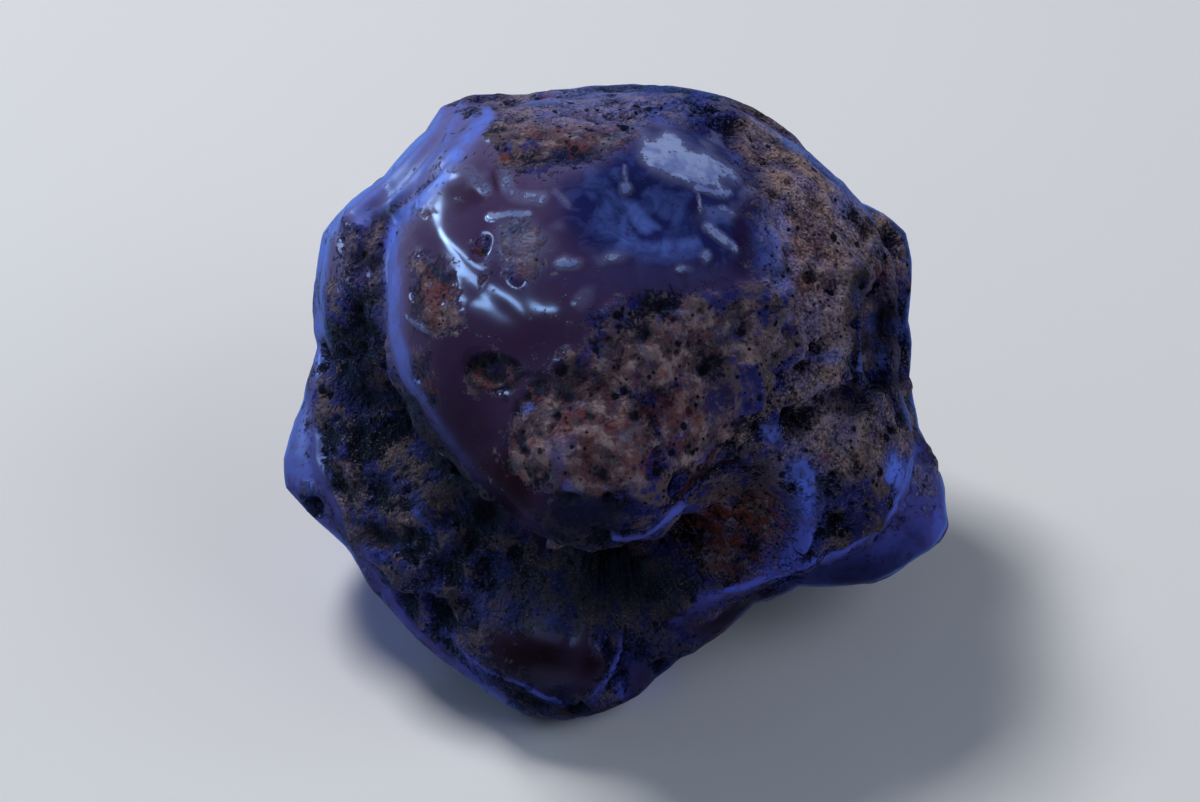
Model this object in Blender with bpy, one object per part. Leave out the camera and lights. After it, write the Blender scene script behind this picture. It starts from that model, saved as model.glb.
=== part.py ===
"""One natural nodule of dark agate, a single stone, as one closed solid.

The stone is drawn in its own face frame, in millimetres: x to the right, y up
the face and w straight out of it. Its body is a smooth union of named lobes,
less a few named hollows, roughened by gentle noise. A skin of facets is drawn
in on to that body, its outline is trued to the stone's silhouette, and the
stone is then leaned back and set down on the flat worn on its underside.
"""

from collections import namedtuple
from itertools import product
from math import cos, radians, sin

import bpy
import numpy as np

MM = 0.001

# How the stone lies: its face looks this many degrees above the horizon.
FACE_LIFT = 40.0
# The worn flat it rests on is a cut this far from the face frame's origin.
REST_DEPTH = 27.3
# The point of the face frame, seen from above, that stands over the row's origin.
BOX_CENTRE = (0.2, 5.9)
# The silhouette is the one seen from this far in front of the face.
SIGHT_DISTANCE = 300.0
# The silhouette is trued along spokes of the face, each as wide as a few facets.
SPOKES = np.radians(np.arange(-180, 180, 3))
SPOKE_HALF_WIDTH = 3.0
# Between its points the edge of a faceted skin cuts inside the silhouette by this share.
FACET_ALLOWANCE = 1.005

# The skin's facets: this many squares along each edge of the cube it starts from,
# drawn towards the face, which carries the finer forms, by this share.
SKIN_SQUARES = 28
FACE_SHARE = 0.22
SKIN_HEART = (-0.5, -0.5, -4.0)
SKIN_START = 60.0
RELAX_ROUNDS = 6

# The silhouette, read once round from the right, as points of the face (x, y).
OUTLINE = (
    (30.4, 0.0), (29.9, 2.4), (30.2, 5.7), (29.9, 8.1), (30.2, 14.1),
    (29.5, 17.0), (27.1, 19.0), (24.4, 20.5), (20.5, 24.4), (16.3, 28.2),
    (11.2, 30.7), (2.8, 31.9), (-4.0, 31.4), (-8.6, 30.8), (-14.3, 30.7),
    (-17.1, 29.6), (-18.9, 27.0), (-22.8, 22.8), (-27.3, 19.1), (-29.1, 16.8),
    (-30.0, 10.9), (-29.7, 5.3), (-31.2, 0.0), (-33.1, -5.8), (-32.8, -8.8),
    (-28.5, -13.3), (-26.3, -15.2), (-21.7, -21.7), (-13.4, -28.7), (-8.5, -31.7),
    (-2.8, -31.8), (2.6, -29.8), (6.9, -25.9), (14.3, -20.5), (18.9, -18.9),
    (26.3, -18.4), (32.2, -15.0), (33.8, -12.3), (33.6, -9.0), (31.0, -2.7),
)

# The heart of the stone fills that outline. Its widest section lies this deep, and
# below the face's centre it comes forward by this share of the way down.
HEART_DEPTH = -9.5
HEART_LEAN = -0.2
HEART_FRONT = 9.0
HEART_BACK = 18.0
# 2 makes the heart's rim an ellipse, and more makes it fuller.
HEART_FULLNESS = 2.5

# Lumps that stand on the heart. Radii are across, along and out of the face, before
# the lobe is turned; blend is the width of the soft join to what came before.
Lobe = namedtuple("Lobe", "centre radii turn blend")
LOBES = {
    "right shoulder": Lobe((17.4, 7.5, -1.5), (11.4, 18.6, 16.0), 4, 1.0),
    "right wall": Lobe((19.0, -5.0, -2.0), (11.6, 12.2, 14.0), 0, 1.0),
    "left terrace": Lobe((-23.3, 11.0, -4.5), (6.6, 11.5, 9.0), 0, 1.0),
    "left ridge": Lobe((-24.0, -4.0, -4.5), (6.6, 11.0, 6.0), -4, 0.8),
    "lower left": Lobe((-14.6, -13.8, -6.0), (15.0, 10.6, 11.0), -45, 1.5),
    "foot": Lobe((-5.5, -23.0, -2.5), (11.0, 8.4, 9.5), 0, 2.0),
    "top crust": Lobe((2.0, 24.0, -4.0), (16.0, 7.3, 12.0), 0, 2.0),
    "brow ledge": Lobe((-17.6, 21.1, -5.0), (11.0, 5.8, 8.0), 49, 1.0),
    "cap": Lobe((-1.5, 8.5, 7.0), (20.8, 19.0, 17.0), 0, 1.0),
    "cap brow": Lobe((-11.3, 18.6, 3.0), (13.0, 8.0, 12.0), 49, 2.5),
    "cap flank": Lobe((12.0, 6.0, 3.0), (9.5, 17.0, 14.0), 0, 5.0),
    "chin": Lobe((-1.0, -3.5, 11.0), (12.0, 11.0, 13.5), 0, 4.0),
    "ridge": Lobe((19.2, -11.0, 4.5), (3.0, 6.4, 5.0), -6, 2.0),
    "keel": Lobe((12.5, -17.2, 0.5), (8.0, 2.4, 4.8), 20, 2.0),
    "back": Lobe((-7.0, 7.0, -18.0), (17.0, 15.5, 13.0), 20, 3.0),
    "back right": Lobe((13.5, -1.0, -17.0), (13.0, 14.5, 12.0), -15, 3.0),
    "back left": Lobe((-17.0, -7.0, -16.0), (10.5, 10.0, 10.5), 0, 2.5),
    "back top": Lobe((7.0, 17.0, -15.0), (13.0, 9.5, 11.0), -20, 2.5),
    "heel": Lobe((1.0, -12.0, -18.0), (16.0, 11.0, 11.0), 0, 2.5),
}

# Hollows cut into the lobes, laid out in the same way.
HOLLOWS = {
    "recess under the cap": Lobe((1.0, -18.0, 9.0), (9.5, 4.0, 7.0), 0, 2.0),
    "red hollow": Lobe((12.0, -12.0, 12.0), (5.4, 4.6, 8.0), 35, 2.0),
    "right hollow": Lobe((26.6, 6.9, 8.0), (2.8, 6.4, 4.6), -8, 0.8),
    "right pit": Lobe((22.3, 0.2, 10.4), (3.0, 1.9, 3.0), 0, 0.6),
    "dish": Lobe((26.4, 16.3, 6.2), (1.9, 2.0, 1.6), 0, 0.8),
    "terrace hollow": Lobe((-24.6, 14.1, 4.8), (1.5, 2.4, 1.8), 0, 0.6),
    "brow pit": Lobe((-23.0, 18.6, 3.2), (1.6, 1.4, 1.8), 0, 0.6),
    "left step": Lobe((-25.0, 0.6, 1.8), (2.6, 2.2, 2.4), 0, 0.8),
    "lower left hollow": Lobe((-23.2, -12.8, 2.6), (2.6, 1.8, 2.0), -30, 0.8),
    "foot hollow": Lobe((-17.5, -21.0, 2.5), (1.6, 2.0, 1.8), 0, 0.6),
    "glassy dish": Lobe((5.0, 19.0, 22.6), (7.5, 4.8, 3.2), -10, 1.5),
    "eye": Lobe((-12.0, 3.0, 20.9), (2.4, 1.7, 1.6), -12, 0.6),
    "bulge pit": Lobe((-30.0, -10.0, -5.0), (1.0, 1.6, 1.6), 25, 0.4),
    "back dimple": Lobe((3.0, 6.5, -33.0), (4.0, 6.0, 4.5), 30, 1.5),
    "left dimple": Lobe((-27.5, 6.0, -19.0), (4.5, 3.5, 3.5), 0, 1.5),
    "right dimple": Lobe((27.5, 4.0, -18.0), (4.5, 5.0, 3.5), 0, 1.5),
}

# Roughness of the skin: the size of its bumps, their height on the face and at the back.
LUMPS = ((12.0, 0.5, 1.3), (4.6, 0.42, 0.5))
BACK_BEGINS = -6.0
BACK_ENDS = -18.0
NOISE_SEED = 4
NOISE_LATTICE = np.random.RandomState(NOISE_SEED).uniform(-1, 1, (32, 32, 32))

STONE_COLOUR = (0.036, 0.026, 0.058, 1.0)


def noise(points, size):
    """Smooth noise between -1 and 1, with bumps about `size` across."""
    cell = points / size + 7.3
    low = np.floor(cell).astype(int)
    part = cell - low
    part = part * part * (3 - 2 * part)
    total = np.zeros(len(points))
    for corner in product((0, 1), repeat=3):
        index = (low + corner) % len(NOISE_LATTICE)
        weight = np.prod(np.where(corner, part, 1 - part), axis=1)
        total += weight * NOISE_LATTICE[tuple(index.T)]
    return total


def ellipsoid(points, centre, radii, turn):
    """Nearly the distance to an ellipsoid turned in the face's plane; negative inside."""
    near = points - np.array(centre)
    angle = radians(turn)
    across = near[:, 0] * cos(angle) + near[:, 1] * sin(angle)
    along = near[:, 1] * cos(angle) - near[:, 0] * sin(angle)
    near = np.column_stack((across, along, near[:, 2]))
    reach = np.linalg.norm(near / radii, axis=1)
    slope = np.linalg.norm(near / np.square(radii), axis=1)
    return reach * (reach - 1) / np.maximum(slope, 1e-6)


def smooth_min(a, b, blend):
    """The lesser of two distances, rounded where they meet."""
    if blend == 0:
        return np.minimum(a, b)
    share = np.maximum(blend - np.abs(a - b), 0) / blend
    return np.minimum(a, b) - share * share * blend / 4


def outline_radius(angle):
    """How far the silhouette reaches from the face's centre at an angle round it."""
    corner = np.array(OUTLINE)
    corner_angle = np.arctan2(corner[:, 1], corner[:, 0])
    return np.interp(angle, corner_angle, np.linalg.norm(corner, axis=1), period=2 * np.pi)


def heart(points):
    """Nearly the distance to the body that fills the outline; negative inside."""
    section = HEART_DEPTH + HEART_LEAN * np.minimum(points[:, 1], 0)
    out = points[:, 2] - section
    half = np.where(out > 0, HEART_FRONT, HEART_BACK)
    radius = outline_radius(np.arctan2(points[:, 1], points[:, 0])) * (1 - section / SIGHT_DISTANCE)
    across = np.linalg.norm(points[:, :2], axis=1) / radius
    away = np.abs(out) / half
    reach = (across**HEART_FULLNESS + away**HEART_FULLNESS) ** (1 / HEART_FULLNESS)
    steepness = HEART_FULLNESS - 1
    slope = np.hypot(across**steepness / radius, away**steepness / half) / reach**steepness
    return (reach - 1) / np.maximum(slope, 1e-6)


def body(points):
    """Nearly the distance from each point to the stone's surface; negative inside."""
    depth = heart(points)
    for lobe in LOBES.values():
        depth = smooth_min(depth, ellipsoid(points, lobe.centre, lobe.radii, lobe.turn), lobe.blend)
    for hollow in HOLLOWS.values():
        cut = ellipsoid(points, hollow.centre, hollow.radii, hollow.turn)
        depth = -smooth_min(-depth, cut, hollow.blend)
    back = np.clip((points[:, 2] - BACK_BEGINS) / (BACK_ENDS - BACK_BEGINS), 0, 1)
    for size, face_height, back_height in LUMPS:
        depth = depth - (face_height + (back_height - face_height) * back) * noise(points, size)
    return depth


def cube_skin(squares):
    """A cube's surface in squares: points on the cube, and the four corners of each square."""
    index = {}
    quads = []
    for axis, side in product(range(3), (0, squares)):
        for i, j in product(range(squares), repeat=2):
            ring = [(i, j), (i + 1, j), (i + 1, j + 1), (i, j + 1)]
            if side == 0:
                ring.reverse()
            keys = [tuple(np.roll((side, a, b), axis)) for a, b in ring]
            quads.append([index.setdefault(key, len(index)) for key in keys])
    cube = np.array(list(index), float) * 2 / squares - 1
    return cube, np.array(quads)


def skin_directions(cube):
    """Directions spread evenly round the stone, then drawn towards the face."""
    even = np.tan(cube * np.pi / 4)
    even /= np.linalg.norm(even, axis=1)[:, None]
    polar = np.arccos(np.clip(even[:, 2], -1, 1))
    drawn = polar - FACE_SHARE * np.sin(polar)
    ring = even[:, :2] / np.maximum(np.linalg.norm(even[:, :2], axis=1), 1e-9)[:, None]
    return np.column_stack((ring * np.sin(drawn)[:, None], np.cos(drawn)))


def draw_in(directions):
    """Moves each point of the skin in along its ray until it meets the body."""
    distance = np.full(len(directions), SKIN_START)
    for _ in range(90):
        distance -= 0.6 * body(SKIN_HEART + directions * distance[:, None])
    return SKIN_HEART + directions * distance[:, None]


def relax(points, quads, rounds):
    """Evens the skin out along the surface, and brings it back on to the body each time."""
    corner_index = quads.ravel()
    shares = np.bincount(corner_index)[:, None]
    for _ in range(rounds):
        corners = points[quads]
        middles = corners.mean(axis=1)
        tilts = np.cross(corners[:, 2] - corners[:, 0], corners[:, 3] - corners[:, 1])
        evened = np.zeros_like(points)
        normals = np.zeros_like(points)
        np.add.at(evened, corner_index, np.repeat(middles, 4, axis=0))
        np.add.at(normals, corner_index, np.repeat(tilts, 4, axis=0))
        normals /= np.linalg.norm(normals, axis=1)[:, None]
        points = points + 0.5 * (evened / shares - points)
        for _ in range(4):
            points = points - 0.6 * normals * np.clip(body(points), -1, 1)[:, None]
    return points


def outline_reach(points):
    """How far the points reach from the face's centre, in each direction round it."""
    seen = in_sight(points)
    angle = np.arctan2(seen[:, 1], seen[:, 0])
    distance = np.linalg.norm(seen, axis=1)
    turned = np.angle(np.exp(1j * (angle[None, :] - SPOKES[:, None])))
    return np.where(np.abs(turned) < radians(SPOKE_HALF_WIDTH), distance, 0).max(axis=1)


def in_sight(points):
    """Where points fall on the face's plane for an eye in front of the face."""
    return points[:, :2] * (SIGHT_DISTANCE / (SIGHT_DISTANCE - points[:, 2:3]))


def true_outline(points):
    """Stretches the stone across its face so that its silhouette follows OUTLINE."""
    stretch = outline_radius(SPOKES) / outline_reach(points)
    stretch = (np.roll(stretch, 1) + stretch + np.roll(stretch, -1)) / 3
    angle = np.arctan2(points[:, 1], points[:, 0])
    share = np.interp(angle, SPOKES, stretch, period=2 * np.pi)
    trued = points.copy()
    trued[:, :2] *= FACET_ALLOWANCE * share[:, None]
    return trued


def lay_down(points):
    """Face frame to the row's frame: leans the stone back and rests it on its worn flat."""
    lift = radians(FACE_LIFT)
    across = points[:, 0] - BOX_CENTRE[0]
    deep = points[:, 1] * sin(lift) - points[:, 2] * cos(lift) - BOX_CENTRE[1]
    high = points[:, 1] * cos(lift) + points[:, 2] * sin(lift) + REST_DEPTH
    return np.column_stack((across, deep, np.maximum(high, 0.0)))


def stone_material():
    material = bpy.data.materials.new("agate")
    material.use_nodes = True
    shader = material.node_tree.nodes["Principled BSDF"]
    shader.inputs["Base Color"].default_value = STONE_COLOUR
    shader.inputs["Roughness"].default_value = 0.35
    shader.inputs["Metallic"].default_value = 0.0
    return material


def build_nodule():
    cube, quads = cube_skin(SKIN_SQUARES)
    points = relax(draw_in(skin_directions(cube)), quads, RELAX_ROUNDS)
    points = lay_down(true_outline(points))
    mesh = bpy.data.meshes.new("nodule")
    mesh.from_pydata((points * MM).tolist(), [], quads.tolist())
    mesh.materials.append(stone_material())
    nodule = bpy.data.objects.new("nodule", mesh)
    bpy.context.scene.collection.objects.link(nodule)
    return nodule


for leftover in list(bpy.data.objects):
    bpy.data.objects.remove(leftover)
build_nodule()
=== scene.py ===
"""The agate nodule's finish: its fine skin, its painted fields, its material, light and camera.

The stone is drawn in the same face frame as its solid, in millimetres: x to the
right, y up the face and w straight out of it. A fine skin is drawn in on to the
same lobes and hollows, with smaller forms added, and then roughened where the
stone is crusted. What the surface is made of, with the shade, sheen, rim light
and a highlight painted into its colour, is held in soft fields over the skin,
laid out as areas, lines and spots of the face as it is looked at.
"""

from collections import namedtuple
from itertools import product
from math import cos, pi, radians, sin

import bpy
import numpy as np
from mathutils import Matrix, Vector
from numpy.linalg import norm


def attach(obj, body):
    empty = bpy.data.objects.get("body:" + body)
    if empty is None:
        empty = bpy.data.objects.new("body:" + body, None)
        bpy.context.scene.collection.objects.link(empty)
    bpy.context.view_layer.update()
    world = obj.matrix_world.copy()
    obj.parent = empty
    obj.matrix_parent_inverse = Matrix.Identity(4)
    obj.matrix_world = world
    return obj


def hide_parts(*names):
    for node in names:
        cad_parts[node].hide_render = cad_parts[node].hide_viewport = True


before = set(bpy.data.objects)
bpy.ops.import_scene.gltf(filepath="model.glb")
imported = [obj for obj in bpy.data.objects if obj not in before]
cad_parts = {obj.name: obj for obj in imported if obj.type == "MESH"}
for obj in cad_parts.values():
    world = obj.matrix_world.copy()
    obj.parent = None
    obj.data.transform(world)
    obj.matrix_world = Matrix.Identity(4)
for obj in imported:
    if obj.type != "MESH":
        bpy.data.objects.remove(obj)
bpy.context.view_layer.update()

MM = 0.001

# ---------------- the solid's own form

# The face looks this many degrees above the horizon.
FACE_LIFT = 40.0
# The worn flat it rests on is a cut this far from the face frame's origin.
REST_DEPTH = 27.3
# The point of the face frame, seen from above, that stands over the row's origin.
BOX_CENTRE = (0.2, 5.9)
# The silhouette is seen from this far in front, and trued along spokes of the face.
SIGHT_DISTANCE = 300.0
SPOKES = np.radians(np.arange(-180, 180, 1.5))
SPOKE_HALF_WIDTH = 1.0

# The skin has this many squares along each edge of the cube it starts from. It is drawn
# towards the face by this share, and in from this far out.
SKIN_SQUARES = 126
FACE_SHARE = 0.3
SKIN_HEART = np.array((-0.5, -0.5, -4.0))
SKIN_START = 60.0
DRAW_IN_STEPS = 90
DRAW_IN_SHARE = 0.6
CLOSE_ENOUGH = 0.01
RELAX_ROUNDS = 5
IRON_ROUNDS = 20

# The silhouette, read once round from the right, as points of the face (x, y).
OUTLINE = (
    (30.4, 0), (29.9, 2.4), (30.2, 5.7), (29.9, 8.1), (30.2, 14.1),
    (29.5, 17), (27.1, 19), (24.4, 20.5), (20.5, 24.4), (16.3, 28.2),
    (11.2, 30.7), (2.8, 31.9), (-4, 31.4), (-8.6, 30.8), (-14.3, 30.7),
    (-17.1, 29.6), (-18.9, 27), (-22.8, 22.8), (-27.3, 19.1), (-29.1, 16.8),
    (-30, 10.9), (-29.7, 5.3), (-31.2, 0), (-33.1, -5.8), (-32.8, -8.8),
    (-28.5, -13.3), (-26.3, -15.2), (-21.7, -21.7), (-13.4, -28.7), (-8.5, -31.7),
    (-2.8, -31.8), (2.6, -29.8), (6.9, -25.9), (14.3, -20.5), (18.9, -18.9),
    (26.3, -18.4), (32.2, -15), (33.8, -12.3), (33.6, -9), (31, -2.7),
)

# The body that fills the silhouette, before and behind its widest section.
HEART_DEPTH = -9.5
HEART_LEAN = -0.2
HEART_FRONT = 9.0
HEART_BACK = 18.0
HEART_FULLNESS = 2.5

# Radii are across, along and out of the face, before the lobe is turned in the
# face's plane; blend is the width of the soft join to what came before.
Lobe = namedtuple("Lobe", "centre radii turn blend")
LOBES = {
    "right shoulder": Lobe((17.4, 7.5, -1.5), (11.4, 18.6, 16), 4, 1),
    "right wall": Lobe((19, -5, -2), (11.6, 12.2, 14), 0, 1),
    "left terrace": Lobe((-23.3, 11, -4.5), (6.6, 11.5, 9), 0, 1),
    "left ridge": Lobe((-24, -4, -4.5), (6.6, 11, 6), -4, 0.8),
    "lower left": Lobe((-14.6, -13.8, -6), (15, 10.6, 11), -45, 1.5),
    "foot": Lobe((-5.5, -23, -2.5), (11, 8.4, 9.5), 0, 2),
    "top crust": Lobe((2, 24, -4), (16, 7.3, 12), 0, 2),
    "brow ledge": Lobe((-17.6, 21.1, -5), (11, 5.8, 8), 49, 1),
    "cap": Lobe((-1.5, 8.5, 7), (20.8, 19, 17), 0, 1),
    "cap brow": Lobe((-11.3, 18.6, 3), (13, 8, 12), 49, 2.5),
    "cap flank": Lobe((12, 6, 3), (9.5, 17, 14), 0, 5),
    "chin": Lobe((-1, -3.5, 11), (12, 11, 13.5), 0, 4),
    "ridge": Lobe((19.2, -11, 4.5), (3, 6.4, 5), -6, 2),
    "keel": Lobe((12.5, -17.2, 0.5), (8, 2.4, 4.8), 20, 2),
    "back": Lobe((-7, 7, -18), (17, 15.5, 13), 20, 3),
    "back right": Lobe((13.5, -1, -17), (13, 14.5, 12), -15, 3),
    "back left": Lobe((-17, -7, -16), (10.5, 10, 10.5), 0, 2.5),
    "back top": Lobe((7, 17, -15), (13, 9.5, 11), -20, 2.5),
    "heel": Lobe((1, -12, -18), (16, 11, 11), 0, 2.5),
}
HOLLOWS = {
    "recess under the cap": Lobe((1, -18, 9), (9.5, 4, 7), 0, 2),
    "red hollow": Lobe((12, -12, 12), (5.4, 4.6, 8), 35, 2),
    "right hollow": Lobe((26.6, 6.9, 8), (2.8, 6.4, 4.6), -8, 0.8),
    "right pit": Lobe((22.3, 0.2, 10.4), (3, 1.9, 3), 0, 0.6),
    "dish": Lobe((26.4, 16.3, 6.2), (1.9, 2, 1.6), 0, 0.8),
    "terrace hollow": Lobe((-24.6, 14.1, 4.8), (1.5, 2.4, 1.8), 0, 0.6),
    "brow pit": Lobe((-23, 18.6, 3.2), (1.6, 1.4, 1.8), 0, 0.6),
    "left step": Lobe((-25, 0.6, 1.8), (2.6, 2.2, 2.4), 0, 0.8),
    "lower left hollow": Lobe((-23.2, -12.8, 2.6), (2.6, 1.8, 2), -30, 0.8),
    "foot hollow": Lobe((-17.5, -21, 2.5), (1.6, 2, 1.8), 0, 0.6),
    "glassy dish": Lobe((5, 19, 22.6), (7.5, 4.8, 3.2), -10, 1.5),
    "eye": Lobe((-12, 3, 20.9), (2.4, 1.7, 1.6), -12, 0.6),
    "bulge pit": Lobe((-30, -10, -5), (1, 1.6, 1.6), 25, 0.4),
    "back dimple": Lobe((3, 6.5, -33), (4, 6, 4.5), 30, 1.5),
    "left dimple": Lobe((-27.5, 6, -19), (4.5, 3.5, 3.5), 0, 1.5),
    "right dimple": Lobe((27.5, 4, -18), (4.5, 5, 3.5), 0, 1.5),
}
# A hollow is only worked out for points this near to it.
NEAR_HOLLOW = 4.0

# Soft lumps all over the stone: their size, and their height on the face and on the back.
LUMPS = ((12.0, 0.5, 1.3), (4.6, 0.12, 0.5))
BACK_BEGINS = -6.0
BACK_ENDS = -18.0
NOISE_SEED = 4
NOISE_LATTICE = np.random.RandomState(NOISE_SEED).uniform(-1, 1, (32, 32, 32))


def noise(points, size, offset=7.3):
    """Smooth noise between -1 and 1, with bumps about `size` across."""
    cell = points / size + offset
    low = np.floor(cell).astype(int)
    part = cell - low
    part = part * part * (3 - 2 * part)
    total = np.zeros(len(points))
    for corner in product((0, 1), repeat=3):
        index = (low + corner) % len(NOISE_LATTICE)
        weight = np.where(corner, part, 1 - part).prod(axis=1)
        total += weight * NOISE_LATTICE[tuple(index.T)]
    return total


def ellipsoid(points, centre, radii, turn):
    """Nearly the distance to an ellipsoid turned in the face's plane; negative inside."""
    near = points - np.array(centre)
    angle = radians(turn)
    across = near[:, 0] * cos(angle) + near[:, 1] * sin(angle)
    along = near[:, 1] * cos(angle) - near[:, 0] * sin(angle)
    near = np.column_stack((across, along, near[:, 2]))
    reach = norm(near / radii, axis=1)
    slope = norm(near / np.square(radii), axis=1)
    return reach * (reach - 1) / np.maximum(slope, 1e-6)


def smooth_min(a, b, blend):
    """The lesser of two distances, rounded where they meet."""
    share = np.maximum(blend - np.abs(a - b), 0) / blend
    return np.minimum(a, b) - share * share * blend / 4


def outline_radius(angle):
    """How far the silhouette reaches from the face's centre at an angle round it."""
    corner = np.array(OUTLINE)
    corner_angle = np.arctan2(corner[:, 1], corner[:, 0])
    return np.interp(angle, corner_angle, norm(corner, axis=1), period=2 * np.pi)


def heart(points):
    """Nearly the distance to the body that fills the outline; negative inside."""
    section = HEART_DEPTH + HEART_LEAN * np.minimum(points[:, 1], 0)
    out = points[:, 2] - section
    half = np.where(out > 0, HEART_FRONT, HEART_BACK)
    radius = outline_radius(np.arctan2(points[:, 1], points[:, 0])) * (1 - section / SIGHT_DISTANCE)
    across = norm(points[:, :2], axis=1) / radius
    away = np.abs(out) / half
    reach = (across**HEART_FULLNESS + away**HEART_FULLNESS) ** (1 / HEART_FULLNESS)
    steepness = HEART_FULLNESS - 1
    slope = np.hypot(across**steepness / radius, away**steepness / half) / reach**steepness
    return (reach - 1) / np.maximum(slope, 1e-6)


def body(points):
    """Nearly the distance from each point to the stone's surface; negative inside."""
    depth = heart(points)
    for lobe in LOBES.values():
        depth = smooth_min(depth, ellipsoid(points, lobe.centre, lobe.radii, lobe.turn), lobe.blend)
    for hollow in HOLLOWS.values():
        gap = np.abs(points - np.array(hollow.centre)).max(axis=1)
        near = gap < max(hollow.radii) + NEAR_HOLLOW
        cut = ellipsoid(points[near], hollow.centre, hollow.radii, hollow.turn)
        depth[near] = -smooth_min(-depth[near], cut, hollow.blend)
    back = np.clip((points[:, 2] - BACK_BEGINS) / (BACK_ENDS - BACK_BEGINS), 0, 1)
    for size, face_height, back_height in LUMPS:
        depth = depth - (face_height + (back_height - face_height) * back) * noise(points, size)
    return depth


def cube_skin(squares):
    """A cube's surface in squares: its points, the corners of each square, and their place on a flat map."""
    index = {}
    quads = []
    places = []
    sides = list(product(range(3), (0, squares)))
    for number, (axis, side) in enumerate(sides):
        column, row = number % 3, number // 3
        for i, j in product(range(squares), repeat=2):
            ring = [(i, j), (i + 1, j), (i + 1, j + 1), (i, j + 1)]
            if side == 0:
                ring.reverse()
            keys = [((side, a, b) * 2)[3 - axis:6 - axis] for a, b in ring]
            quads.append([index.setdefault(key, len(index)) for key in keys])
            places.append([(column, row, a, b) for a, b in ring])
    cube = np.array(list(index), float) * 2 / squares - 1
    return cube, np.array(quads), np.array(places, float)


def skin_directions(cube):
    """Directions spread evenly round the stone, then drawn towards the face."""
    even = np.tan(cube * np.pi / 4)
    even /= norm(even, axis=1)[:, None]
    polar = np.arccos(np.clip(even[:, 2], -1, 1))
    drawn = polar - FACE_SHARE * np.sin(polar)
    ring = even[:, :2] / np.maximum(norm(even[:, :2], axis=1), 1e-9)[:, None]
    return np.column_stack((ring * np.sin(drawn)[:, None], np.cos(drawn)))


def draw_in(directions):
    """Moves each point of the skin in along its ray until it meets the body."""
    distance = np.full(len(directions), SKIN_START)
    moving = np.arange(len(directions))
    for _ in range(DRAW_IN_STEPS):
        gap = body(SKIN_HEART + directions[moving] * distance[moving, None])
        distance[moving] -= DRAW_IN_SHARE * gap
        moving = moving[np.abs(gap) > CLOSE_ENOUGH]
        if not len(moving):
            break
    return SKIN_HEART + directions * distance[:, None]


def gather(quads, values, count):
    """Adds one value of each square, a vector, on to its four corners."""
    spread = np.repeat(values, 4, axis=0)
    return np.column_stack([np.bincount(quads.ravel(), spread[:, k], count) for k in range(3)])


def skin_normals(points, quads):
    """The outward direction of the skin at each of its points."""
    corners = points[quads]
    tilts = np.cross(corners[:, 2] - corners[:, 0], corners[:, 3] - corners[:, 1])
    normals = gather(quads, tilts, len(points))
    return normals / norm(normals, axis=1)[:, None]


def evened_points(points, quads):
    """Each point of the skin moved to the middle of the squares round it."""
    shares = np.bincount(quads.ravel())[:, None]
    return gather(quads, points[quads].mean(axis=1), len(points)) / shares


def relax(points, quads, rounds):
    """Evens the skin out along the surface, and brings it back on to the body each time."""
    for _ in range(rounds):
        normals = skin_normals(points, quads)
        points = points + 0.5 * (evened_points(points, quads) - points)
        for _ in range(2):
            points = points - 0.8 * normals * np.clip(body(points), -1, 1)[:, None]
    return points


def iron(points, quads, rounds):
    """Draws the skin flat where a deep hollow's wall has folded it over."""
    for _ in range(rounds):
        normals = skin_normals(points, quads)
        out = points - SKIN_HEART
        upright = (normals * out).sum(axis=1) / norm(out, axis=1)
        share = 0.8 * rise(-upright, -0.12, 0.08)
        points = points + share[:, None] * (evened_points(points, quads) - points)
    return points


def in_sight(points):
    """Where points fall on the face's plane for an eye in front of the face."""
    return points[:, :2] * (SIGHT_DISTANCE / (SIGHT_DISTANCE - points[:, 2:3]))


def outline_reach(points):
    """How far the points reach from the face's centre, in each direction round it."""
    seen = in_sight(points)
    angle = np.arctan2(seen[:, 1], seen[:, 0])
    distance = norm(seen, axis=1)
    reach = []
    for spoke in SPOKES:
        turned = np.angle(np.exp(1j * (angle - spoke)))
        reach.append(distance[np.abs(turned) < radians(SPOKE_HALF_WIDTH)].max())
    return np.array(reach)


def true_outline(points):
    """Stretches the stone across its face so that its silhouette follows OUTLINE."""
    stretch = outline_radius(SPOKES) / outline_reach(points)
    stretch = (np.roll(stretch, 1) + stretch + np.roll(stretch, -1)) / 3
    angle = np.arctan2(points[:, 1], points[:, 0])
    share = np.interp(angle, SPOKES, stretch, period=2 * np.pi)
    trued = points.copy()
    trued[:, :2] *= share[:, None]
    return trued


def lay_down(points):
    """Face frame to the row's frame: leans the stone back and rests it on its worn flat."""
    lift = radians(FACE_LIFT)
    across = points[:, 0] - BOX_CENTRE[0]
    deep = points[:, 1] * sin(lift) - points[:, 2] * cos(lift) - BOX_CENTRE[1]
    high = points[:, 1] * cos(lift) + points[:, 2] * sin(lift) + REST_DEPTH
    return np.column_stack((across, deep, np.maximum(high, 0.0)))


# ---------------- what lies where on the face

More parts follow.
